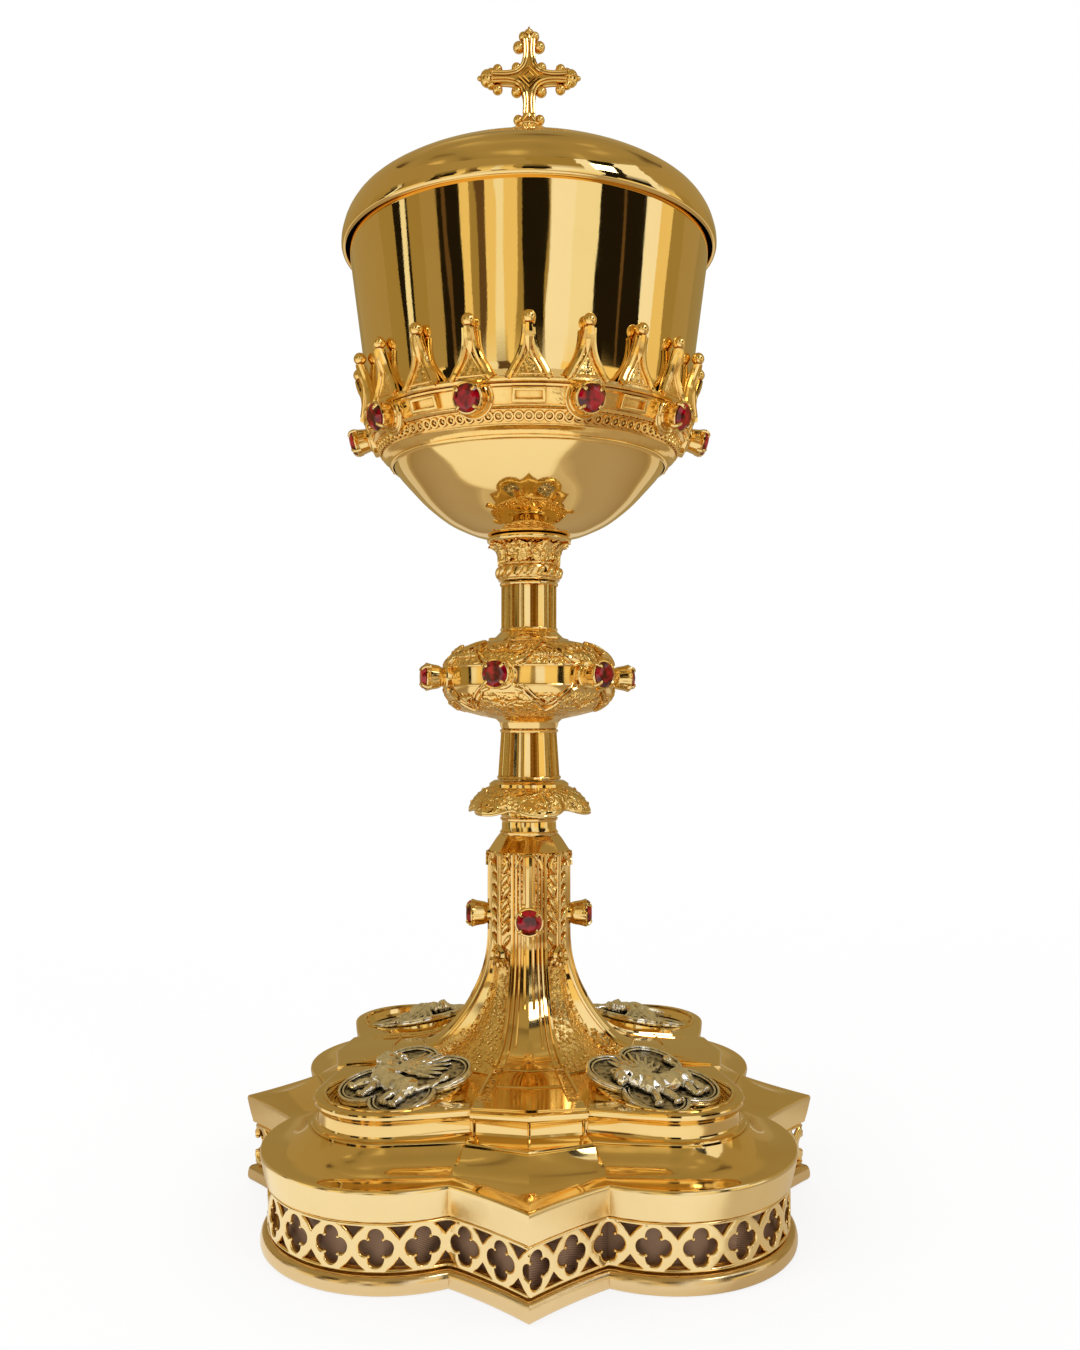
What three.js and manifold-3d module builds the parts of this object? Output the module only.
// A gilt ciborium: lidded cup in a crowned gallery, jewelled knop, and a foot of four lobes and
// four points with a pierced wall. Millimetres, +Z up, the foot's centre at the origin, front to -Y.
import * as THREE from "three";
import { mergeVertices } from "three/addons/utils/BufferGeometryUtils.js";
import Module from "manifold-3d";

const wasm = await Module();
wasm.setup();

// Clearances between neighbours
const SEAM_GAP = 0.3;
const BORE_CLEARANCE = 0.4;
const LID_CLEARANCE = 0.6;

// Foot plan, measured at its widest level
const POINT_REACH = 73.4;
const LOBE_OFFSET = 31;
const LOBE_RADIUS = 31.2;
const LOBE_START = 17;
const ARM_HOLLOW = 0.7;
const POINT_TAPER = 1.15;
const ARM_STEPS = 2;
const LOBE_STEPS = 5;

// Foot levels
const FOOT_HEIGHT = 4.7;
const GALLERY_HEIGHT = 9.7;
const BAND_HEIGHT = 7;
const SHOULDER_RISE = 4.7;
const TIER_HEIGHT = 6.6;
const FOOT_WALL = 5.5;
const BAND_LEAN = 1.4;
const SHOULDER_WALL = 3.6;

// Pierced gallery
const GALLERY_SETBACK = 1.7;
const GALLERY_WALL = 1.2;
const GALLERY_CELLS = 48;
const GALLERY_PHASE = 2;
const GALLERY_RAIL = 0.8;
const FOIL_SPREAD = 2.2;
const FOIL_RADIUS = 1.85;
const SPANDREL_WIDTH = 2.5;
const SPANDREL_RISE = 2.6;
const LINER_GAP = 1.3;
const LINER_WALL = 0.8;

// Medallion tier
const TIER_POINT = 48.7;
const TIER_BLOCK_EDGE = 46.8;
const TIER_BLOCK_HALF = 13;
const TIER_BLOCK_STEP = 1.6;
const TIER_LOBE_OFFSET = 32.8;
const TIER_LOBE_RADIUS = 17;
const TIER_MOULDING = 0.9;
const TIER_SKIRT = 1.6;
const TIER_PLATE = 3.3;
const TIER_HOLLOW_RADIUS = 29;
const MEDALLION_DISTANCE = 41.5;
const MEDALLION_FOIL_OFFSET = 8.2;
const MEDALLION_FOIL_RADIUS = 8;
const MEDALLION_THICKNESS = 1.3;
const MEDALLION_LIFT = 2;
const MEDALLION_TILT = 14.5;
const MEDALLION_RIM = 1.3;
const MEDALLION_RELIEF = 1.1;
const MEDALLION_FIGURE = 8.4;
const SEAT_RADIUS = 14.8;
const SEAT_WELL_RADIUS = 14.3;
const SEAT_WELL_DEPTH = 4;

// Trumpet and stem
const STEM_RADIUS = 10.8;
const STEM_SHAFT_TOP = 86;
const FLARE_TOP = 66;
const FLARE_SPREAD = 16.9;
const ARM_SPREAD = 19.7;
const FIELD_SPREAD = 13.2;
const ARM_HALF_TOP = 4.3;
const ARM_HALF_GROWTH = 8.4;
const NECK_RADIUS = 7.1;
const NECK_CHAMFER = 4.5;
const NECK_HEIGHT = 4;

// Leaf collar and columns, six-sided and turned on the octagonal stem
const SHAFT_SIDES = 6;
const SHAFT_TURN = 17.6;
const COLLAR_HEIGHT = 9.3;
const COLLAR_RADIUS = 16.3;
const COLLAR_RING_RADIUS = 9.9;
const COLLAR_NOTCH = 0.15;
const COLLAR_TURN = 12.4;
const COLUMN_FOOT_RADIUS = 8;
const COLUMN_HEAD_RADIUS = 7.15;
const LOWER_COLUMN_LENGTH = 13;
const UPPER_COLUMN_LENGTH = 12.7;

// Knop
const KNOP_HEIGHT = 24.7;
const KNOP_RADIUS = 22;
const KNOP_BAND_HEIGHT = 4.4;
const KNOP_BAND_DEPTH = 0.8;
const KNOP_COLLAR_RADIUS = 8.7;
const KNOP_BOSS_RADIUS = 3.6;
const KNOP_BOSS_DEPTH = 6;
const KNOP_GEM_LEVEL = 13.1;

// Capital and rod
const CAPITAL_HEIGHT = 11;
const CAPITAL_RADIUS = 10.9;
const CAPITAL_ROLL_RADIUS = 8.8;
const ROD_RADIUS = 2.4;
const WASHER_RADIUS = 9;
const WASHER_THICKNESS = 1.2;
const NUT_RADIUS = 5.2;
const NUT_HEIGHT = 3.2;
const ROD_TAIL = 1.4;
const BOSS_RADIUS = 4.6;
const BOSS_HEIGHT = 5;

// Cup
const CUP_DEPTH = 76.4;
const CUP_LIP_RADIUS = 46.8;
const CUP_SHOULDER_RADIUS = 41.2;
const CUP_SHOULDER_HEIGHT = 33;
const CUP_WALL = 1.7;
const CUP_FLAT = 6;
const CUP_STEPS = 26;

// Crown of fleurons round the cup
const CROWN_BASE = 17.6;
const CROWN_BAND_HEIGHT = 12.6;
const CROWN_WALL = 1.3;
const FLEURON_COUNT = 20;
const FLEURON_HEIGHT = 14.8;
const FLEURON_THICKNESS = 1.1;
const FLEURON_LEAN = 9;
const FLEURON_BUD = 1.45;
const CROWN_GEMS = 10;
const CROWN_GEM_LEVEL = 7.3;
const CROWN_GEM_REACH = 7.93;
const CROWN_GEM_DROOP = 14;

// Gem settings
const STONE_RADIUS = 3.1;
const STONE_HEIGHT = 1.9;
const COLLET_RADIUS = 3.45;
const COLLET_LENGTH = 5.2;
const COLLET_NECK_RADIUS = 1.95;
const COLLET_NECK_LENGTH = 1.4;
const STEM_GEM_HEIGHT = 69.5;
const KNOP_GEM_TIP = 28.4;
const STEM_GEM_TIP = 16.3;

// Lid
const LID_OVERHANG = 1.5;
const LID_HEIGHT = 33.9;
const LID_WALL = 1.2;
const LID_SKIRT = 3.6;
const LID_FLAT = 3.6;
const SEAT_FLANGE = 1.4;
const SEAT_DEPTH = 7.5;
const SEAT_WALL = 1.1;
const LID_STEPS = CUP_STEPS;

// Cross finial
const CROSS_HEIGHT = 26;
const CROSS_CENTRE = 13;
const CROSS_SPAN = 27;
const CROSS_THICKNESS = 3;
const CROSS_BAR = 2.6;
const CROSS_DIAMOND = 5.4;
const CROSS_BALL = 1.25;
const CROSS_SHANK_RADIUS = 1.6;
const CROSS_SHANK_LENGTH = 7;
const FINIAL_NUT_RADIUS = 3.2;
const FINIAL_NUT_HEIGHT = 2.2;
const FINIAL_WASHER_RADIUS = 5;
const FINIAL_WASHER_THICKNESS = 0.9;

// Levels that follow from the sizes above
const GALLERY_BASE = FOOT_HEIGHT + SEAM_GAP;
const BAND_BASE = GALLERY_BASE + GALLERY_HEIGHT + SEAM_GAP;
const BAND_TOP = BAND_BASE + BAND_HEIGHT;
const SHOULDER_TOP = BAND_TOP + SHOULDER_RISE;
const TIER_BASE = SHOULDER_TOP + SEAM_GAP;
const TIER_TOP = TIER_BASE + TIER_HEIGHT;
const TRUMPET_BASE = TIER_TOP + SEAM_GAP;
const CHAMFER_TOP = STEM_SHAFT_TOP + NECK_CHAMFER;
const NECK_TOP = CHAMFER_TOP + NECK_HEIGHT;
const COLLAR_BASE = NECK_TOP + SEAM_GAP;
const COLLAR_TOP = COLLAR_BASE + COLLAR_HEIGHT;
const LOWER_COLUMN_BASE = COLLAR_TOP + SEAM_GAP;
const LOWER_COLUMN_TOP = LOWER_COLUMN_BASE + LOWER_COLUMN_LENGTH;
const KNOP_BASE = LOWER_COLUMN_TOP + SEAM_GAP;
const KNOP_TOP = KNOP_BASE + KNOP_HEIGHT;
const KNOP_MIDDLE = KNOP_BASE + KNOP_GEM_LEVEL;
const UPPER_COLUMN_BASE = KNOP_TOP + SEAM_GAP;
const UPPER_COLUMN_TOP = UPPER_COLUMN_BASE + UPPER_COLUMN_LENGTH;
const CAPITAL_BASE = UPPER_COLUMN_TOP + SEAM_GAP;
const CAPITAL_TOP = CAPITAL_BASE + CAPITAL_HEIGHT;
const CUP_BASE = CAPITAL_TOP + SEAM_GAP;
const CUP_LIP = CUP_BASE + CUP_DEPTH;
const CROWN_BOTTOM = CUP_BASE + CROWN_BASE;
const CROWN_TOP = CROWN_BOTTOM + CROWN_BAND_HEIGHT;
const LID_RIM = CUP_LIP - LID_SKIRT;
const LID_RADIUS = CUP_LIP_RADIUS + LID_OVERHANG;
const LID_TOP = LID_RIM + LID_HEIGHT;
const PLATE_UNDERSIDE = TIER_TOP - TIER_PLATE;
const BORE_RADIUS = ROD_RADIUS + BORE_CLEARANCE;

const GOLD = { color: 0xb8893c, metalness: 1, roughness: 0.18 };
const SILVER = { color: 0x8d8a84, metalness: 1, roughness: 0.35 };
const GARNET = { color: 0x6e0512, metalness: 0, roughness: 0.05 };
const LINER = { color: 0x5f4a43, metalness: 0.4, roughness: 0.6 };
const BRASS = { color: 0x9c7b3a, metalness: 1, roughness: 0.4 };

const vessel = new THREE.Group();

// A geometry as a manifold solid, its seams merged and its collapsed triangles dropped.
function toSolid(geometry, matrix = new THREE.Matrix4()) {
  const bare = new THREE.BufferGeometry();
  bare.setAttribute("position", geometry.getAttribute("position").clone());
  if (geometry.index) bare.setIndex(geometry.index.clone());
  bare.applyMatrix4(matrix);
  const merged = mergeVertices(bare, 1e-4);
  const corners = merged.index.array;
  const kept = [];
  for (let i = 0; i < corners.length; i += 3) {
    const [a, b, c] = [corners[i], corners[i + 1], corners[i + 2]];
    if (a !== b && b !== c && c !== a) kept.push(a, b, c);
  }
  return new wasm.Manifold(
    new wasm.Mesh({
      numProp: 3,
      vertProperties: merged.attributes.position.array,
      triVerts: new Uint32Array(kept),
    }),
  );
}

function addNode(name, solid, finish) {
  const mesh = solid.getMesh();
  const geometry = new THREE.BufferGeometry();
  geometry.setAttribute("position", new THREE.BufferAttribute(mesh.vertProperties, 3));
  geometry.setIndex(new THREE.BufferAttribute(mesh.triVerts, 1));
  const flat = geometry.toNonIndexed();
  flat.computeVertexNormals();
  const node = new THREE.Mesh(flat, new THREE.MeshStandardMaterial(finish));
  node.name = name;
  vessel.add(node);
  return node;
}

// A solid of revolution about Z. The profile lists [radius, height] with the outside going up.
function revolve(profile, steps, matrix) {
  const points = profile.map(([r, z]) => new THREE.Vector2(r, z));
  const lathe = new THREE.LatheGeometry(points, steps);
  lathe.rotateX(Math.PI / 2);
  return toSolid(lathe, matrix);
}

function ring(profile, steps, matrix) {
  return revolve([...profile, profile[0]], steps, matrix);
}

function cylinder(radius, bottom, top, steps, matrix) {
  const round = new THREE.CylinderGeometry(radius, radius, top - bottom, steps);
  round.rotateX(Math.PI / 2);
  round.translate(0, 0, (top + bottom) / 2);
  return toSolid(round, matrix);
}

function ball(radius, centre, across = 5, down = 4) {
  const sphere = new THREE.SphereGeometry(radius, across, down);
  sphere.rotateX(Math.PI / 2);
  sphere.translate(centre.x, centre.y, centre.z);
  return toSolid(sphere);
}

function extrude(outline, depth, matrix) {
  const shape = new THREE.Shape(outline.map(([x, y]) => new THREE.Vector2(x, y)));
  const slab = new THREE.ExtrudeGeometry(shape, { depth, bevelEnabled: false });
  return toSolid(slab, matrix);
}

// A solid through rings of equal point counts, each counter-clockwise from above, bottom first.
function loft(rings) {
  const count = rings[0].length;
  const positions = rings.flat().flatMap((p) => [p.x, p.y, p.z]);
  const index = [];
  for (let k = 0; k < rings.length - 1; k++) {
    for (let i = 0; i < count; i++) {
      const j = (i + 1) % count;
      const [a, b] = [k * count + i, k * count + j];
      const [c, d] = [b + count, a + count];
      index.push(a, b, c, a, c, d);
    }
  }
  const cap = (outline, start, flip) => {
    const flat = outline.map((p) => new THREE.Vector2(p.x, p.y));
    for (const [a, b, c] of THREE.ShapeUtils.triangulateShape(flat, [])) {
      index.push(start + a, start + (flip ? c : b), start + (flip ? b : c));
    }
  };
  cap(rings[0], 0, true);
  cap(rings.at(-1), (rings.length - 1) * count, false);
  const geometry = new THREE.BufferGeometry();
  geometry.setAttribute("position", new THREE.Float32BufferAttribute(positions, 3));
  geometry.setIndex(index);
  return toSolid(geometry);
}

const union = (parts) => parts.reduce((whole, part) => whole.add(part));
const radians = (degrees) => (degrees * Math.PI) / 180;

// Places a piece built along +Z so that it points outwards at an azimuth counted from the front
// to the right, with its origin at a radius and height, and its tip drooping by some degrees.
function radialPlace(azimuth, radius, height, droop = 0) {
  const matrix = new THREE.Matrix4().makeRotationZ(radians(azimuth));
  matrix.multiply(new THREE.Matrix4().makeTranslation(0, -radius, height));
  matrix.multiply(new THREE.Matrix4().makeRotationX(radians(90 + droop)));
  return matrix;
}

// Turns the points of one octant, from the front's middle to the diagonal, into a whole ring.
function fourfold(octant) {
  const mirrored = octant.slice(1, -1).reverse().map(([b, a]) => [a, b]);
  const quarter = [...octant, ...mirrored];
  const outline = [];
  for (let turn = 0; turn < 4; turn++) {
    const angle = (turn * Math.PI) / 2;
    for (const [b, a] of quarter) {
      outline.push([
        b * Math.cos(angle) + a * Math.sin(angle),
        b * Math.sin(angle) - a * Math.cos(angle),
      ]);
    }
  }
  return outline;
}

const lift = (outline, height) => outline.map(([x, y]) => new THREE.Vector3(x, y, height));

// The foot's outline, drawn in by an inset: hollow-sided points between round lobes.
function footPlan(inset) {
  const lobe = LOBE_RADIUS - inset;
  const reach = POINT_REACH - inset * POINT_TAPER;
  const start = Math.asin((LOBE_START - LOBE_OFFSET) / lobe);
  const meet = LOBE_OFFSET + lobe * Math.cos(start);
  const octant = [];
  for (let k = 0; k < ARM_STEPS; k++) {
    const t = k / ARM_STEPS;
    const hollow = 4 * ARM_HOLLOW * t * (1 - t);
    octant.push([LOBE_START * t, reach + (meet - reach) * t - hollow]);
  }
  for (let k = 0; k <= LOBE_STEPS; k++) {
    const angle = start + (Math.PI / 4 - start) * (k / LOBE_STEPS);
    octant.push([LOBE_OFFSET + lobe * Math.sin(angle), LOBE_OFFSET + lobe * Math.cos(angle)]);
  }
  return fourfold(octant);
}

// The medallion tier's outline: blunt blocks on the four arms, egg-shaped lobes between them.
function tierPlan(inset) {
  const lobe = TIER_LOBE_RADIUS - inset;
  const block = TIER_BLOCK_HALF - inset / 2;
  const edge = TIER_BLOCK_EDGE - inset;
  const octant = [
    [0, TIER_POINT - inset],
    [block / 2, (TIER_POINT + TIER_BLOCK_EDGE) / 2 - inset],
    [block, edge],
    [block, edge - TIER_BLOCK_STEP],
  ];
  const start = -0.23;
  const first = [TIER_LOBE_OFFSET + lobe * Math.sin(start), TIER_LOBE_OFFSET + lobe * Math.cos(start)];
  octant.push([(block + first[0]) / 2, (edge - TIER_BLOCK_STEP + first[1]) / 2 + 0.2]);
  const steps = ARM_STEPS + LOBE_STEPS - octant.length;
  for (let k = 0; k <= steps; k++) {
    const angle = start + (Math.PI / 4 - start) * (k / steps);
    octant.push([
      TIER_LOBE_OFFSET + lobe * Math.sin(angle),
      TIER_LOBE_OFFSET + lobe * Math.cos(angle),
    ]);
  }
  return fourfold(octant);
}

const between = (from, to, t) =>
  from.map(([x, y], i) => [x + (to[i][0] - x) * t, y + (to[i][1] - y) * t]);

function buildFootMoulding() {
  const outside = loft([
    lift(footPlan(0.5), 0),
    lift(footPlan(0.1), FOOT_HEIGHT * 0.2),
    lift(footPlan(0.3), FOOT_HEIGHT * 0.78),
    lift(footPlan(GALLERY_SETBACK - 0.5), FOOT_HEIGHT),
  ]);
  const inside = loft([lift(footPlan(FOOT_WALL), -1), lift(footPlan(FOOT_WALL), FOOT_HEIGHT + 1)]);
  addNode("foot_moulding", outside.subtract(inside), GOLD);
}

// A flat loop of [x, z, wall] with a point added wherever it crosses a fold line.
function foldLoop(loop, folds) {
  return loop.flatMap(([x, z, wall], i) => {
    const [nextX, nextZ] = loop[(i + 1) % loop.length];
    const crossed = folds
      .filter((fold) => (fold - x) * (fold - nextX) < -1e-6)
      .sort((a, b) => Math.abs(a - x) - Math.abs(b - x))
      .map((fold) => [fold, z + ((nextZ - z) * (fold - x)) / (nextX - x), wall]);
    return [[x, z, wall], ...crossed];
  });
}

// The pierced wall: one flat cell with its quatrefoil and half spandrels, bent round the plan.
function buildPiercedGallery() {
  const outer = footPlan(GALLERY_SETBACK);
  const inner = footPlan(GALLERY_SETBACK + GALLERY_WALL);
  const count = outer.length;
  const starts = [0];
  for (let i = 0; i < count; i++) {
    const [x0, y0] = outer[i];
    const [x1, y1] = outer[(i + 1) % count];
    starts.push(starts[i] + Math.hypot(x1 - x0, y1 - y0));
  }
  const perimeter = starts[count];
  const pitch = perimeter / GALLERY_CELLS;
  const onPlan = (plan, s) => {
    const wrapped = ((s % perimeter) + perimeter) % perimeter;
    let i = starts.findIndex((start) => start > wrapped + 1e-9) - 1;
    if (i < 0) i = count - 1;
    const t = (wrapped - starts[i]) / (starts[i + 1] - starts[i]);
    const [x0, y0] = plan[i];
    const [x1, y1] = plan[(i + 1) % count];
    return [x0 + (x1 - x0) * t, y0 + (y1 - y0) * t];
  };
  const high = GALLERY_HEIGHT;
  const rail = GALLERY_RAIL;
  const rise = rail + SPANDREL_RISE;
  const contour = [
    [0, 0, true],
    [pitch, 0, false],
    [pitch, rail, true],
    [pitch - SPANDREL_WIDTH, rail, true],
    [pitch, rise, false],
    [pitch, high - rise, true],
    [pitch - SPANDREL_WIDTH, high - rail, true],
    [pitch, high - rail, false],
    [pitch, high, true],
    [0, high, false],
    [0, high - rail, true],
    [SPANDREL_WIDTH, high - rail, true],
    [0, high - rise, false],
    [0, rise, true],
    [SPANDREL_WIDTH, rail, true],
    [0, rail, false],
  ];
  const hole = [];
  for (let foil = 0; foil < 4; foil++) {
    const facing = (foil * Math.PI) / 2;
    for (let k = -1; k <= 1; k++) {
      const swing = facing + k * 1.05;
      hole.push([
        pitch / 2 + FOIL_SPREAD * Math.cos(facing) + FOIL_RADIUS * Math.cos(swing),
        high / 2 + FOIL_SPREAD * Math.sin(facing) + FOIL_RADIUS * Math.sin(swing),
        true,
      ]);
    }
  }
  const corners = outer.map((_, i) => i % (count / 4)).flatMap((i, at) =>
    i === 0 || i === ARM_STEPS || i === count / 4 - ARM_STEPS ? [starts[at]] : [],
  );
  const flat = (loop) => loop.map(([x, z]) => new THREE.Vector2(x, z));
  const positions = [];
  const index = [];
  for (let cell = 0; cell < GALLERY_CELLS; cell++) {
    const origin = GALLERY_PHASE + (cell - 0.5) * pitch;
    const folds = corners
      .map((s) => (((s - origin) % perimeter) + perimeter) % perimeter)
      .filter((x) => x > 0.05 && x < pitch - 0.05);
    const edge = foldLoop(contour, folds);
    const foil = foldLoop(hole, folds);
    const points = [...edge, ...foil];
    const faces = THREE.ShapeUtils.triangulateShape(flat(edge), [flat(foil)]);
    const size = points.length;
    const base = positions.length / 3;
    for (const plan of [outer, inner]) {
      for (const [x, z] of points) positions.push(...onPlan(plan, origin + x), GALLERY_BASE + z);
    }
    for (const [a, b, c] of faces) {
      index.push(base + a, base + b, base + c);
      index.push(base + size + a, base + size + c, base + size + b);
    }
    const wall = (a, b) => {
      index.push(base + b, base + a, base + size + a);
      index.push(base + b, base + size + a, base + size + b);
    };
    edge.forEach(([, , open], i) => {
      if (open) wall(i, (i + 1) % edge.length);
    });
    foil.forEach((_, i) => wall(edge.length + ((i + 1) % foil.length), edge.length + i));
  }
  const geometry = new THREE.BufferGeometry();
  geometry.setAttribute("position", new THREE.Float32BufferAttribute(positions, 3));
  geometry.setIndex(index);
  addNode("pierced_gallery", toSolid(geometry), GOLD);
}

function buildGalleryLiner() {
  const back = GALLERY_SETBACK + GALLERY_WALL + LINER_GAP;
  const outline = (inset, height) => lift(footPlan(inset), height);
  const top = GALLERY_BASE + GALLERY_HEIGHT;
  const outside = loft([outline(back, GALLERY_BASE), outline(back, top)]);
  const inside = loft([
    outline(back + LINER_WALL, GALLERY_BASE - 1),
    outline(back + LINER_WALL, top + 1),
  ]);
  addNode("gallery_liner", outside.subtract(inside), LINER);
}

// The plain band and the hollow shoulder, which draws the foot's plan in to the tier's.
function buildShoulder() {
  const rimPlan = footPlan(0.4);
  const headPlan = tierPlan(-TIER_SKIRT - 0.6);
  const hollow = (t) => BAND_TOP + SHOULDER_RISE * (0.12 * t + 0.88 * t ** 2.6);
  const outside = loft([
    lift(footPlan(BAND_LEAN), BAND_BASE),
    lift(footPlan(0), BAND_BASE + BAND_HEIGHT * 0.86),
    ...[0, 0.5, 0.85, 1].map((t) => lift(between(rimPlan, headPlan, t), hollow(t))),
  ]);
  const innerRim = footPlan(BAND_LEAN + SHOULDER_WALL);
  const innerHead = tierPlan(TIER_SKIRT + 2.4);
  const inside = loft([
    lift(innerRim, BAND_BASE - 1),
    lift(innerRim, BAND_TOP - 2.4),
    lift(innerHead, SHOULDER_TOP - 2),
    lift(innerHead, SHOULDER_TOP + 1),
  ]);
  addNode("base_shoulder", outside.subtract(inside), GOLD);
}

const medallionPlace = (azimuth) => {
  const matrix = new THREE.Matrix4().makeRotationZ(radians(azimuth));
  const tierLevel = TIER_TOP + MEDALLION_LIFT;
  matrix.multiply(new THREE.Matrix4().makeTranslation(0, -MEDALLION_DISTANCE, tierLevel));
  matrix.multiply(new THREE.Matrix4().makeRotationX(radians(MEDALLION_TILT)));
  return matrix;
};

function buildTier() {
  const bottom = TIER_BASE;
  const top = TIER_TOP;
  let tier = loft([
    lift(tierPlan(-TIER_SKIRT), bottom),
    lift(tierPlan(-TIER_SKIRT * 0.7), bottom + 0.7),
    lift(tierPlan(TIER_MOULDING), bottom + 1.5),
    lift(tierPlan(TIER_MOULDING), top - 1.7),
    lift(tierPlan(0), top - 1),
    lift(tierPlan(0.2), top),
  ]);
  const seats = [];
  for (const azimuth of [45, 135, 225, 315]) {
    const around = new THREE.Matrix4().makeRotationZ(radians(azimuth));
    const distance = TIER_LOBE_OFFSET * Math.SQRT2;
    const well = around.clone().multiply(new THREE.Matrix4().makeTranslation(0, -distance, 0));
    tier = tier.subtract(cylinder(SEAT_WELL_RADIUS, top - SEAT_WELL_DEPTH, top + 1, 18, well));
    const seat = medallionPlace(azimuth);
    const under = -MEDALLION_THICKNESS - SEAM_GAP;
    seats.push(cylinder(SEAT_RADIUS, under - 9, under, 18, seat));
  }
  const hollow = cylinder(TIER_HOLLOW_RADIUS, bottom - 1, PLATE_UNDERSIDE, 20);
  const slab = cylinder(POINT_REACH, bottom + 0.6, top + SEAT_RADIUS, 16);
  tier = tier.add(union(seats).intersect(slab)).subtract(hollow);
  tier = tier.subtract(cylinder(BORE_RADIUS, bottom - 1, top + 1, 12));
  addNode("medallion_tier", tier, GOLD);
}

// The medallion's four foils, drawn in by an inset, one facing each side of the vessel.
function medallionOutline(inset) {
  const offset = MEDALLION_FOIL_OFFSET;
  const foil = MEDALLION_FOIL_RADIUS - inset;
  const sweep = Math.acos((-offset * Math.SQRT1_2) / foil) - Math.PI / 4;
  const outline = [];
  for (let side = 0; side < 4; side++) {
    const facing = Math.PI / 4 + (side * Math.PI) / 2;
    for (let k = 0; k < 5; k++) {
      const swing = facing + sweep * (k / 2.5 - 1);
      outline.push([
        offset * Math.cos(facing) + foil * Math.cos(swing),
        offset * Math.sin(facing) + foil * Math.sin(swing),
      ]);
    }
  }
  return outline;
}

function buildMedallions() {
  const names = ["front_right", "back_right", "back_left", "front_left"];
  const thick = MEDALLION_THICKNESS;
  const ground = 0.5;
  names.forEach((name, k) => {
    const place = medallionPlace(45 + 90 * k);
    const down = (depth) => place.clone().multiply(new THREE.Matrix4().makeTranslation(0, 0, -depth));
    const plaque = extrude(medallionOutline(0), thick, down(thick));
    const field = extrude(medallionOutline(MEDALLION_RIM), thick, down(ground));
    const figure = revolve(
      [
        [0, -0.8],
        [MEDALLION_FIGURE, -0.8],
        [MEDALLION_FIGURE * 0.8, MEDALLION_RELIEF * 0.5],
        [0, MEDALLION_RELIEF],
      ],
      6,
      place,
    );
    addNode("medallion_" + name, plaque.subtract(field).add(figure), SILVER);
  });
}

// The stem's cross-section at a height: an octagon that spreads into four arms and four fields.
function stemSection(height) {
  const fall = Math.max(0, (FLARE_TOP - height) / (FLARE_TOP - TRUMPET_BASE));
  const ridge = STEM_RADIUS + FLARE_SPREAD * fall ** 2.27 + ARM_SPREAD * fall ** 26;
  const field = STEM_RADIUS + FIELD_SPREAD * fall ** 3.6;
  const half = ARM_HALF_TOP + ARM_HALF_GROWTH * (0.4 * fall ** 2.2 + 0.6 * fall ** 14);
  const slope = Math.tan(Math.PI / 8);
  const edge = ridge - ARM_HALF_TOP * slope;
  const foot = ARM_HALF_TOP + 0.9 + 3.4 * fall ** 3;
  const footReach = STEM_RADIUS - (ARM_HALF_TOP + 0.9) * slope + (FIELD_SPREAD + 0.2) * fall ** 3.6;
  return fourfold([
    [0, ridge],
    [half * 0.56, ridge - half * 0.56 * (ridge - edge) / half],
    [half, edge],
    [foot, footReach],
    [field * Math.SQRT1_2, field * Math.SQRT1_2],
  ]);
}

function buildTrumpetStem() {
  const drop = [0, 0.03, 0.08, 0.17, 0.33, 0.6, 0.85, 1];
  const flare = drop.map((t) => TRUMPET_BASE + (FLARE_TOP - TRUMPET_BASE) * t);
  const octagon = stemSection(FLARE_TOP);
  const scaled = (radius, height) => {
    const ring = octagon.map(([x, y]) => [(x * radius) / STEM_RADIUS, (y * radius) / STEM_RADIUS]);
    return lift(ring, height);
  };
  const body = loft([
    ...flare.map((height) => lift(stemSection(height), height)),
    lift(stemSection(STEM_SHAFT_TOP), STEM_SHAFT_TOP),
    scaled(NECK_RADIUS + 0.6, CHAMFER_TOP - 0.5),
    scaled(NECK_RADIUS, CHAMFER_TOP),
    scaled(NECK_RADIUS, NECK_TOP),
  ]);
  const bore = cylinder(BORE_RADIUS, TRUMPET_BASE - 1, NECK_TOP + 1, 12);
  let stem = body.subtract(bore);
  const socketFloor = STEM_GEM_TIP - STONE_HEIGHT - COLLET_LENGTH - SEAM_GAP;
  for (const azimuth of [0, 90, 180, 270]) {
    const socket = radialPlace(azimuth, socketFloor, STEM_GEM_HEIGHT);
    stem = stem.subtract(cylinder(COLLET_RADIUS + SEAM_GAP, 0, 12, 8, socket));
  }
  addNode("trumpet_stem", stem, GOLD);
}

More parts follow.
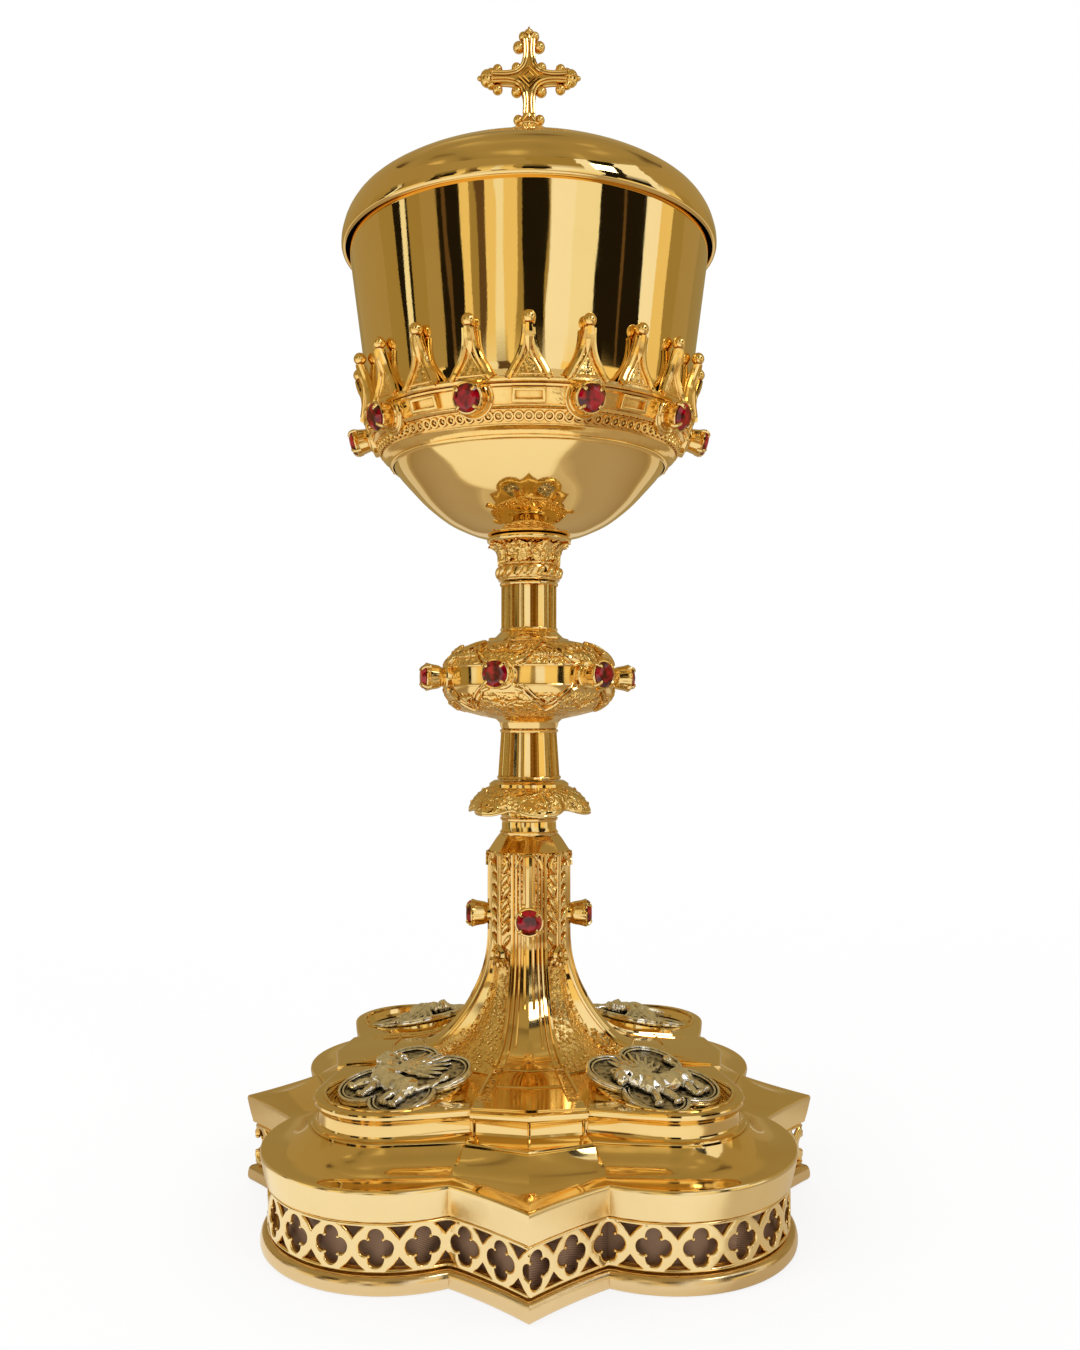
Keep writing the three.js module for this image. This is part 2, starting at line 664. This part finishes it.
function buildLeafCollar() {
  const top = COLLAR_HEIGHT;
  const rim = COLLAR_RADIUS;
  const neck = COLLAR_RING_RADIUS;
  const stations = [
    [NECK_RADIUS + 0.3, 0, 0],
    [NECK_RADIUS + 0.5, 1.6, 0],
    [rim * 0.82, 2, 1],
    [rim, 1, 1],
    [rim * 0.985, 2.2, 1],
    [rim * 0.89, 4.9, 0.8],
    [rim * 0.74, 6.9, 0.4],
    [neck + 0.4, 7.7, 0],
    [neck, 8.5, 0],
    [neck - 0.8, top, 0],
  ];
  const rings = stations.map(([radius, height, lobed]) => {
    const outline = [];
    const steps = SHAFT_SIDES * 4;
    for (let k = 0; k < steps; k++) {
      const turn = (k / steps) * 2 * Math.PI;
      const angle = turn + radians(COLLAR_TURN);
      const notch = lobed * Math.sin((SHAFT_SIDES / 2) * turn) ** 2;
      const r = radius * (1 - COLLAR_NOTCH * notch);
      const z = COLLAR_BASE + height + 0.9 * notch;
      outline.push(new THREE.Vector3(r * Math.sin(angle), -r * Math.cos(angle), z));
    }
    return outline;
  });
  const bore = cylinder(BORE_RADIUS, COLLAR_BASE - 1, COLLAR_TOP + 1, 12);
  addNode("leaf_collar", loft(rings).subtract(bore), GOLD);
}

// A clustered shaft: a reed on each of its six corners, a wider one on the middle of each face.
function columnSection(radius, height) {
  const side = 360 / SHAFT_SIDES;
  const flat = Math.cos(Math.PI / SHAFT_SIDES);
  const share = [
    [0, 1.02],
    [0.1, 0.955],
    [0.36, flat * 1.02],
    [0.4, flat * 1.1],
    [0.5, flat * 1.12],
    [0.6, flat * 1.1],
    [0.64, flat * 1.02],
    [0.9, 0.955],
  ];
  const outline = [];
  for (let corner = 0; corner < SHAFT_SIDES; corner++) {
    for (const [along, size] of share) {
      const angle = radians(side * (corner + along) - SHAFT_TURN);
      const r = radius * size;
      outline.push(new THREE.Vector3(r * Math.sin(angle), -r * Math.cos(angle), height));
    }
  }
  return outline;
}

function buildColumn(name, foot, head, bottom, top) {
  const shaft = loft([columnSection(foot, bottom), columnSection(head, top)]);
  addNode(name, shaft.subtract(cylinder(BORE_RADIUS, bottom - 1, top + 1, 12)), GOLD);
}

const knopAzimuth = (k) => (360 / SHAFT_SIDES) * k - SHAFT_TURN;

function buildKnop() {
  const base = KNOP_BASE;
  const r = KNOP_RADIUS;
  const high = KNOP_HEIGHT;
  const middle = KNOP_MIDDLE;
  const half = KNOP_BAND_HEIGHT / 2;
  const band = r - KNOP_BAND_DEPTH;
  let knop = revolve(
    [
      [0, base],
      [COLUMN_HEAD_RADIUS + 0.2, base],
      [KNOP_COLLAR_RADIUS, base + high * 0.093],
      [r * 0.76, base + high * 0.17],
      [r * 0.93, base + high * 0.275],
      [r, middle - half - 0.3],
      [band, middle - half],
      [band, middle + half],
      [r, middle + half + 0.3],
      [r * 0.93, base + high * 0.753],
      [r * 0.81, base + high * 0.846],
      [r * 0.46, base + high * 0.919],
      [KNOP_COLLAR_RADIUS, base + high * 0.964],
      [COLUMN_HEAD_RADIUS + 0.4, KNOP_TOP],
      [0, KNOP_TOP],
    ],
    24,
  );
  const bosses = [];
  for (let k = 0; k < SHAFT_SIDES; k++) {
    const seat = radialPlace(knopAzimuth(k), r - 0.4, middle);
    bosses.push(cylinder(KNOP_BOSS_RADIUS, -KNOP_BOSS_DEPTH, 0.8, 8, seat));
  }
  knop = knop.add(union(bosses));
  knop = knop.subtract(cylinder(BORE_RADIUS, base - 1, KNOP_TOP + 1, 12));
  addNode("knop", knop, GOLD);
}

function buildCapital() {
  const roll = CAPITAL_ROLL_RADIUS;
  const rim = CAPITAL_RADIUS;
  const stations = [
    [COLUMN_HEAD_RADIUS, 0, 0],
    [roll * 0.97, 0.7, 0.4],
    [roll, 2.3, 1],
    [roll * 0.95, 3.8, 0.6],
    [roll * 0.87, 4.6, 0],
    [rim * 0.76, 6.3, 0.4],
    [rim * 0.88, 8, 0.8],
    [rim * 0.98, 9.6, 1],
    [rim, CAPITAL_HEIGHT - 0.8, 0],
    [rim, CAPITAL_HEIGHT, 0],
  ];
  const rings = stations.map(([radius, height, leafy]) => {
    const outline = [];
    for (let k = 0; k < 16; k++) {
      const angle = (k / 16) * 2 * Math.PI;
      const r = radius * (1 - 0.06 * leafy * (k % 2));
      outline.push(new THREE.Vector3(r * Math.sin(angle), -r * Math.cos(angle), CAPITAL_BASE + height));
    }
    return outline;
  });
  const counterbore = CAPITAL_TOP - BOSS_HEIGHT;
  const bore = cylinder(BORE_RADIUS, CAPITAL_BASE - 1, CAPITAL_TOP, 12);
  const socket = cylinder(BOSS_RADIUS + BORE_CLEARANCE, counterbore, CAPITAL_TOP + 1, 16);
  addNode("capital", loft(rings).subtract(bore).subtract(socket), GOLD);
}

function buildTieRod() {
  const washerTop = PLATE_UNDERSIDE - SEAM_GAP;
  const washerBase = washerTop - WASHER_THICKNESS;
  const nutTop = washerBase - SEAM_GAP;
  const nutBase = nutTop - NUT_HEIGHT;
  const bossBase = CUP_BASE - SEAM_GAP - BOSS_HEIGHT;
  const rodTop = bossBase + BOSS_HEIGHT * 0.75;
  addNode("tie_rod", cylinder(ROD_RADIUS, nutBase - ROD_TAIL, rodTop, 10), BRASS);
  const hole = cylinder(BORE_RADIUS, nutBase - 1, washerTop + 1, 10);
  addNode("stem_washer", cylinder(WASHER_RADIUS, washerBase, washerTop, 16).subtract(hole), BRASS);
  addNode("stem_nut", cylinder(NUT_RADIUS, nutBase, nutTop, 6).subtract(hole), BRASS);
  const boss = cylinder(BOSS_RADIUS, bossBase + SEAM_GAP, CUP_BASE - SEAM_GAP, 16);
  const thread = cylinder(BORE_RADIUS, bossBase - 1, rodTop + SEAM_GAP, 10);
  addNode("bowl_boss", boss.subtract(thread), BRASS);
}

// The bowl's outside as [radius, height above its base]: a low curve that turns into a straight wall.
function cupOutside() {
  const shoulder = CUP_SHOULDER_RADIUS;
  const rise = CUP_SHOULDER_HEIGHT;
  const curve = [
    [CUP_FLAT, 0],
    [shoulder * 0.315, rise * 0.021],
    [shoulder * 0.437, rise * 0.078],
    [shoulder * 0.53, rise * 0.14],
    [shoulder * 0.645, rise * 0.255],
    [shoulder * 0.738, rise * 0.373],
    [shoulder * 0.83, rise * 0.503],
    [shoulder * 0.885, rise * 0.615],
    [shoulder * 0.94, rise * 0.765],
    [shoulder * 0.975, rise * 0.885],
    [shoulder, rise],
  ];
  return [...curve, [CUP_LIP_RADIUS, CUP_DEPTH]];
}

// The bowl's outside radius at a height above its base.
function cupRadius(height) {
  const outside = cupOutside();
  for (let i = 1; i < outside.length; i++) {
    const [r0, z0] = outside[i - 1];
    const [r1, z1] = outside[i];
    if (height <= z1) return r0 + ((r1 - r0) * (height - z0)) / (z1 - z0);
  }
  return CUP_LIP_RADIUS;
}

// A profile moved square to itself by a distance, towards the axis when positive.
function offsetProfile(profile, distance) {
  return profile.map(([r, z], i) => {
    const [r0, z0] = profile[Math.max(0, i - 1)];
    const [r1, z1] = profile[Math.min(profile.length - 1, i + 1)];
    const length = Math.hypot(r1 - r0, z1 - z0);
    return [r - (distance * (z1 - z0)) / length, z + (distance * (r1 - r0)) / length];
  });
}

const raise = (profile, level) => profile.map(([r, z]) => [r, z + level]);

function buildCup() {
  const outside = cupOutside();
  const inside = offsetProfile(outside, CUP_WALL).filter((_, i) => i % 2 === 0).reverse();
  inside.unshift([CUP_LIP_RADIUS - CUP_WALL, CUP_DEPTH]);
  const profile = [[0, 0], ...outside, ...inside, [0, CUP_WALL]];
  addNode("cup_bowl", revolve(raise(profile, CUP_BASE), CUP_STEPS), GOLD);
}

// A collet along +Z with its stone's seat at the top: neck, head and a recess for the stone.
function collet(matrix, length, neck) {
  const bottom = -length;
  const recess = STONE_HEIGHT * 0.9;
  const profile = [[0, bottom], [COLLET_NECK_RADIUS, bottom]];
  if (neck > 0) profile.push([COLLET_NECK_RADIUS, bottom + neck]);
  profile.push(
    [COLLET_RADIUS - 0.3, bottom + neck + (neck > 0 ? 0.5 : 0)],
    [COLLET_RADIUS, 0],
    [STONE_RADIUS - 0.4, 0],
    [COLLET_NECK_RADIUS - 0.4, -recess],
    [0, -recess],
  );
  if (neck === 0) profile[1] = [COLLET_RADIUS - 0.3, bottom];
  return revolve(profile, 8, matrix);
}

const gemProud = STONE_HEIGHT * 0.5 + 0.6;

// A faceted stone along +Z: culet, girdle and table.
function stone(matrix) {
  const girdle = STONE_RADIUS - 0.35;
  return revolve(
    [[0, -STONE_HEIGHT * 0.55], [girdle, SEAM_GAP], [girdle * 0.62, gemProud], [0, gemProud]],
    8,
    matrix,
  );
}

function buildStemGems() {
  ["front", "right", "back", "left"].forEach((side, k) => {
    const place = radialPlace(90 * k, STEM_GEM_TIP - gemProud, STEM_GEM_HEIGHT);
    addNode("stem_collet_" + side, collet(place, COLLET_LENGTH, 0), GOLD);
    addNode("stem_stone_" + side, stone(place), GARNET);
  });
}

function buildKnopGems() {
  const seat = KNOP_RADIUS + 0.4 + SEAM_GAP;
  const length = KNOP_GEM_TIP - gemProud - seat;
  for (let k = 0; k < SHAFT_SIDES; k++) {
    const place = radialPlace(knopAzimuth(k), KNOP_GEM_TIP - gemProud, KNOP_MIDDLE);
    addNode("knop_collet_" + (k + 1), collet(place, length, COLLET_NECK_LENGTH), GOLD);
    addNode("knop_stone_" + (k + 1), stone(place), GARNET);
  }
}

// One fleuron, drawn flat with its foot on the X axis: a hollow-sided gable under a bud.
function fleuronOutline() {
  const half = (Math.PI * CUP_SHOULDER_RADIUS) / FLEURON_COUNT;
  const high = FLEURON_HEIGHT;
  const neck = high - 1.7 * FLEURON_BUD;
  const side = [
    [half * 0.86, 0],
    [half * 0.62, high * 0.16],
    [half * 0.31, high * 0.44],
    [FLEURON_BUD * 0.8, neck],
    [FLEURON_BUD, neck + FLEURON_BUD * 0.7],
    [FLEURON_BUD * 0.5, high],
  ];
  return [...side, ...side.map(([x, y]) => [-x, y]).reverse()];
}

// A gem seat cast with the crown: a cup on the band that reaches out to its stone.
function crownSeat(matrix, length) {
  const recess = STONE_HEIGHT * 0.9;
  const profile = [
    [0, -length],
    [COLLET_RADIUS * 0.8, -length],
    [COLLET_RADIUS, 0],
    [STONE_RADIUS - 0.4, 0],
    [COLLET_NECK_RADIUS - 0.4, -recess],
    [0, -recess],
  ];
  return revolve(profile, 6, matrix);
}

function buildCrown() {
  const start = CROWN_BASE;
  const band = CROWN_BAND_HEIGHT;
  const levels = [0, 0.12, 0.3, 0.55, 0.93, 1].map((t) => start + band * t);
  const proud = [0.7, 1.1, 1.2, 0.9, 1.6, 1.2].map((p) => p + CROWN_WALL * 0.6);
  const outside = levels.map((z, i) => [cupRadius(z) + SEAM_GAP + proud[i], z]);
  const inside = [1, 0].map((t) => {
    const z = start + band * t;
    return [cupRadius(z) + SEAM_GAP + 0.25, z];
  });
  const parts = [ring(raise([...outside, ...inside], CUP_BASE), CUP_STEPS)];
  const outline = fleuronOutline();
  const footRadius = cupRadius(start + band) + SEAM_GAP + FLEURON_THICKNESS + 0.6;
  for (let k = 0; k < FLEURON_COUNT; k++) {
    const turn = new THREE.Matrix4().makeRotationZ(radians((360 / FLEURON_COUNT) * k));
    turn.multiply(new THREE.Matrix4().makeTranslation(0, -footRadius, CROWN_TOP - 0.5));
    turn.multiply(new THREE.Matrix4().makeRotationX(radians(90 + FLEURON_LEAN)));
    turn.multiply(new THREE.Matrix4().makeTranslation(0, 0, -FLEURON_THICKNESS));
    parts.push(extrude(outline, FLEURON_THICKNESS, turn));
  }
  const gemLevel = CROWN_BOTTOM + CROWN_GEM_LEVEL;
  const surface = cupRadius(CROWN_BASE + CROWN_GEM_LEVEL) + SEAM_GAP + CROWN_WALL;
  const tip = cupRadius(CROWN_BASE + CROWN_GEM_LEVEL) + CROWN_GEM_REACH;
  for (let k = 0; k < CROWN_GEMS; k++) {
    const azimuth = (360 / CROWN_GEMS) * (k + 0.5);
    const gem = radialPlace(azimuth, tip - gemProud, gemLevel, CROWN_GEM_DROOP);
    parts.push(crownSeat(gem, tip - gemProud - surface + 0.6));
    addNode("crown_stone_" + (k + 1), stone(gem), GARNET);
  }
  addNode("crown_gallery", union(parts), GOLD);
}

// The lid's outside as [radius, height above its rim].
function lidOutside() {
  const r = LID_RADIUS;
  const h = LID_HEIGHT;
  return [
    [r, 0],
    [r * 0.995, h * 0.106],
    [r * 0.973, h * 0.206],
    [r * 0.925, h * 0.306],
    [r * 0.85, h * 0.395],
    [r * 0.748, h * 0.484],
    [r * 0.62, h * 0.569],
    [r * 0.466, h * 0.68],
    [r * 0.31, h * 0.796],
    [r * 0.207, h * 0.882],
    [LID_FLAT + 2.2, h * 0.955],
    [LID_FLAT, h],
  ];
}

function buildLid() {
  const outside = lidOutside();
  const inside = offsetProfile(outside, LID_WALL).filter((_, i) => i < 3 || i % 2 === 0);
  inside[0] = [LID_RADIUS - LID_WALL, 0];
  const hole = CROSS_SHANK_RADIUS + BORE_CLEARANCE;
  inside[inside.length - 1] = [hole, LID_HEIGHT - LID_WALL];
  const profile = [...outside, [hole, LID_HEIGHT], ...inside.reverse()];
  addNode("lid_dome", ring(raise(profile, LID_RIM), LID_STEPS), GOLD);

  const cupInside = (depth) => cupRadius(CUP_DEPTH - depth) - CUP_WALL;
  const skirt = cupInside(0) - LID_CLEARANCE;
  const skirtFoot = cupInside(SEAT_DEPTH) - LID_CLEARANCE;
  const ledge = CUP_LIP + SEAM_GAP;
  const flangeTop = ledge + SEAT_FLANGE;
  const rimInside = LID_RADIUS * 0.985 - LID_WALL - SEAM_GAP;
  const seat = ring(
    [
      [skirtFoot - SEAT_WALL, ledge - SEAT_DEPTH],
      [skirtFoot, ledge - SEAT_DEPTH],
      [skirt, ledge],
      [rimInside, ledge],
      [rimInside - 0.25, flangeTop],
      [skirt - SEAT_WALL, flangeTop],
    ],
    LID_STEPS,
  );
  addNode("lid_seat_ring", seat, GOLD);
}

// The cross in its own plane: X across, Y up from the lid, Z towards the viewer.
function buildFinial() {
  const base = LID_TOP + SEAM_GAP;
  const upright = new THREE.Matrix4().makeTranslation(0, 0, base);
  upright.multiply(new THREE.Matrix4().makeRotationX(Math.PI / 2));
  const parts = [];
  const middle = CROSS_CENTRE;
  const half = CROSS_THICKNESS / 2;
  const plate = (outline, thickness) => {
    const flat = upright.clone().multiply(new THREE.Matrix4().makeTranslation(0, 0, -thickness / 2));
    parts.push(extrude(outline, thickness, flat));
  };
  const mirrorX = (side) => [...side, ...side.map(([x, y]) => [-x, y]).reverse()];
  const reach = CROSS_SPAN / 2;
  const bar = CROSS_BAR / 2;
  const tipReach = CROSS_HEIGHT - middle - 3.6;
  plate(
    mirrorX([
      [bar * 1.35, 0],
      [bar * 1.1, 2.2],
      [bar * 0.85, middle - 4.4],
      [bar * 1.5, middle - 2.4],
    ]),
    CROSS_THICKNESS,
  );
  const head = mirrorX([
    [bar * 1.5, middle + 2],
    [bar * 0.8, middle + 4],
    [bar * 1.1, middle + tipReach],
  ]);
  plate(head, CROSS_THICKNESS);
  for (const side of [1, -1]) {
    const arm = [
      [1.6, middle - bar * 1.5],
      [4.4, middle - bar * 1.15],
      [reach - 5, middle - bar * 1.3],
      [reach - 2.6, middle - bar * 0.8],
      [reach, middle],
      [reach - 2.6, middle + bar * 0.8],
      [reach - 5, middle + bar * 1.3],
      [4.4, middle + bar * 1.15],
      [1.6, middle + bar * 1.5],
    ].map(([x, y]) => [x * side, y]);
    plate(side > 0 ? arm : arm.reverse(), CROSS_THICKNESS);
  }
  const d = CROSS_DIAMOND;
  const waist = d * 0.38;
  const diamond = [
    [d, 0],
    [waist, waist],
    [0, d],
    [-waist, waist],
    [-d, 0],
    [-waist, -waist],
    [0, -d],
    [waist, -waist],
  ];
  plate(diamond.map(([x, y]) => [x, y + middle]), CROSS_THICKNESS + 1);
  const tip = mirrorX([
    [0.9, CROSS_HEIGHT - 4.2],
    [2, CROSS_HEIGHT - 2.8],
    [1.2, CROSS_HEIGHT - 1.6],
    [0.4, CROSS_HEIGHT],
  ]);
  plate(tip, CROSS_THICKNESS * 0.7);
  const spots = [];
  for (const side of [1, -1]) {
    spots.push([side * 2.9, middle + 2.9, 1], [side * 2.9, middle - 2.9, 1]);
    spots.push([side * (reach - 4), middle + 2.4, 1], [side * (reach - 4), middle - 2.4, 1]);
    spots.push([side * 2.4, middle + tipReach - 3, 1.2], [side * 2.3, 1.7, 1.2]);
  }
  for (const [x, y, share] of spots) {
    const centre = new THREE.Vector3(x, y, 0).applyMatrix4(upright);
    parts.push(ball(CROSS_BALL * share, centre));
  }
  const dish = revolve([[0, base], [LID_FLAT - 0.2, base], [half + 0.6, base + 1], [0, base + 1]], 12);
  const shank = cylinder(CROSS_SHANK_RADIUS, base - CROSS_SHANK_LENGTH, base + 0.5, 10);
  addNode("finial_cross", union([...parts, dish, shank]), GOLD);

  const washerTop = LID_TOP - LID_WALL - 1.8;
  const nutTop = washerTop - FINIAL_WASHER_THICKNESS - SEAM_GAP;
  const bore = cylinder(CROSS_SHANK_RADIUS + BORE_CLEARANCE, nutTop - FINIAL_NUT_HEIGHT - 1, washerTop + 1, 10);
  const washer = cylinder(FINIAL_WASHER_RADIUS, washerTop - FINIAL_WASHER_THICKNESS, washerTop, 14);
  addNode("finial_washer", washer.subtract(bore), BRASS);
  const nut = cylinder(FINIAL_NUT_RADIUS, nutTop - FINIAL_NUT_HEIGHT, nutTop, 6);
  addNode("finial_nut", nut.subtract(bore), BRASS);
}

buildFootMoulding();
buildPiercedGallery();
buildGalleryLiner();
buildShoulder();
buildTier();
buildMedallions();
buildTrumpetStem();
buildStemGems();
buildLeafCollar();
buildColumn("lower_column", COLUMN_FOOT_RADIUS, COLUMN_HEAD_RADIUS, LOWER_COLUMN_BASE, LOWER_COLUMN_TOP);
buildKnop();
buildKnopGems();
buildColumn("upper_column", COLUMN_HEAD_RADIUS, COLUMN_HEAD_RADIUS, UPPER_COLUMN_BASE, UPPER_COLUMN_TOP);
buildCapital();
buildTieRod();
buildCup();
buildCrown();
buildLid();
buildFinial();

export default vessel;
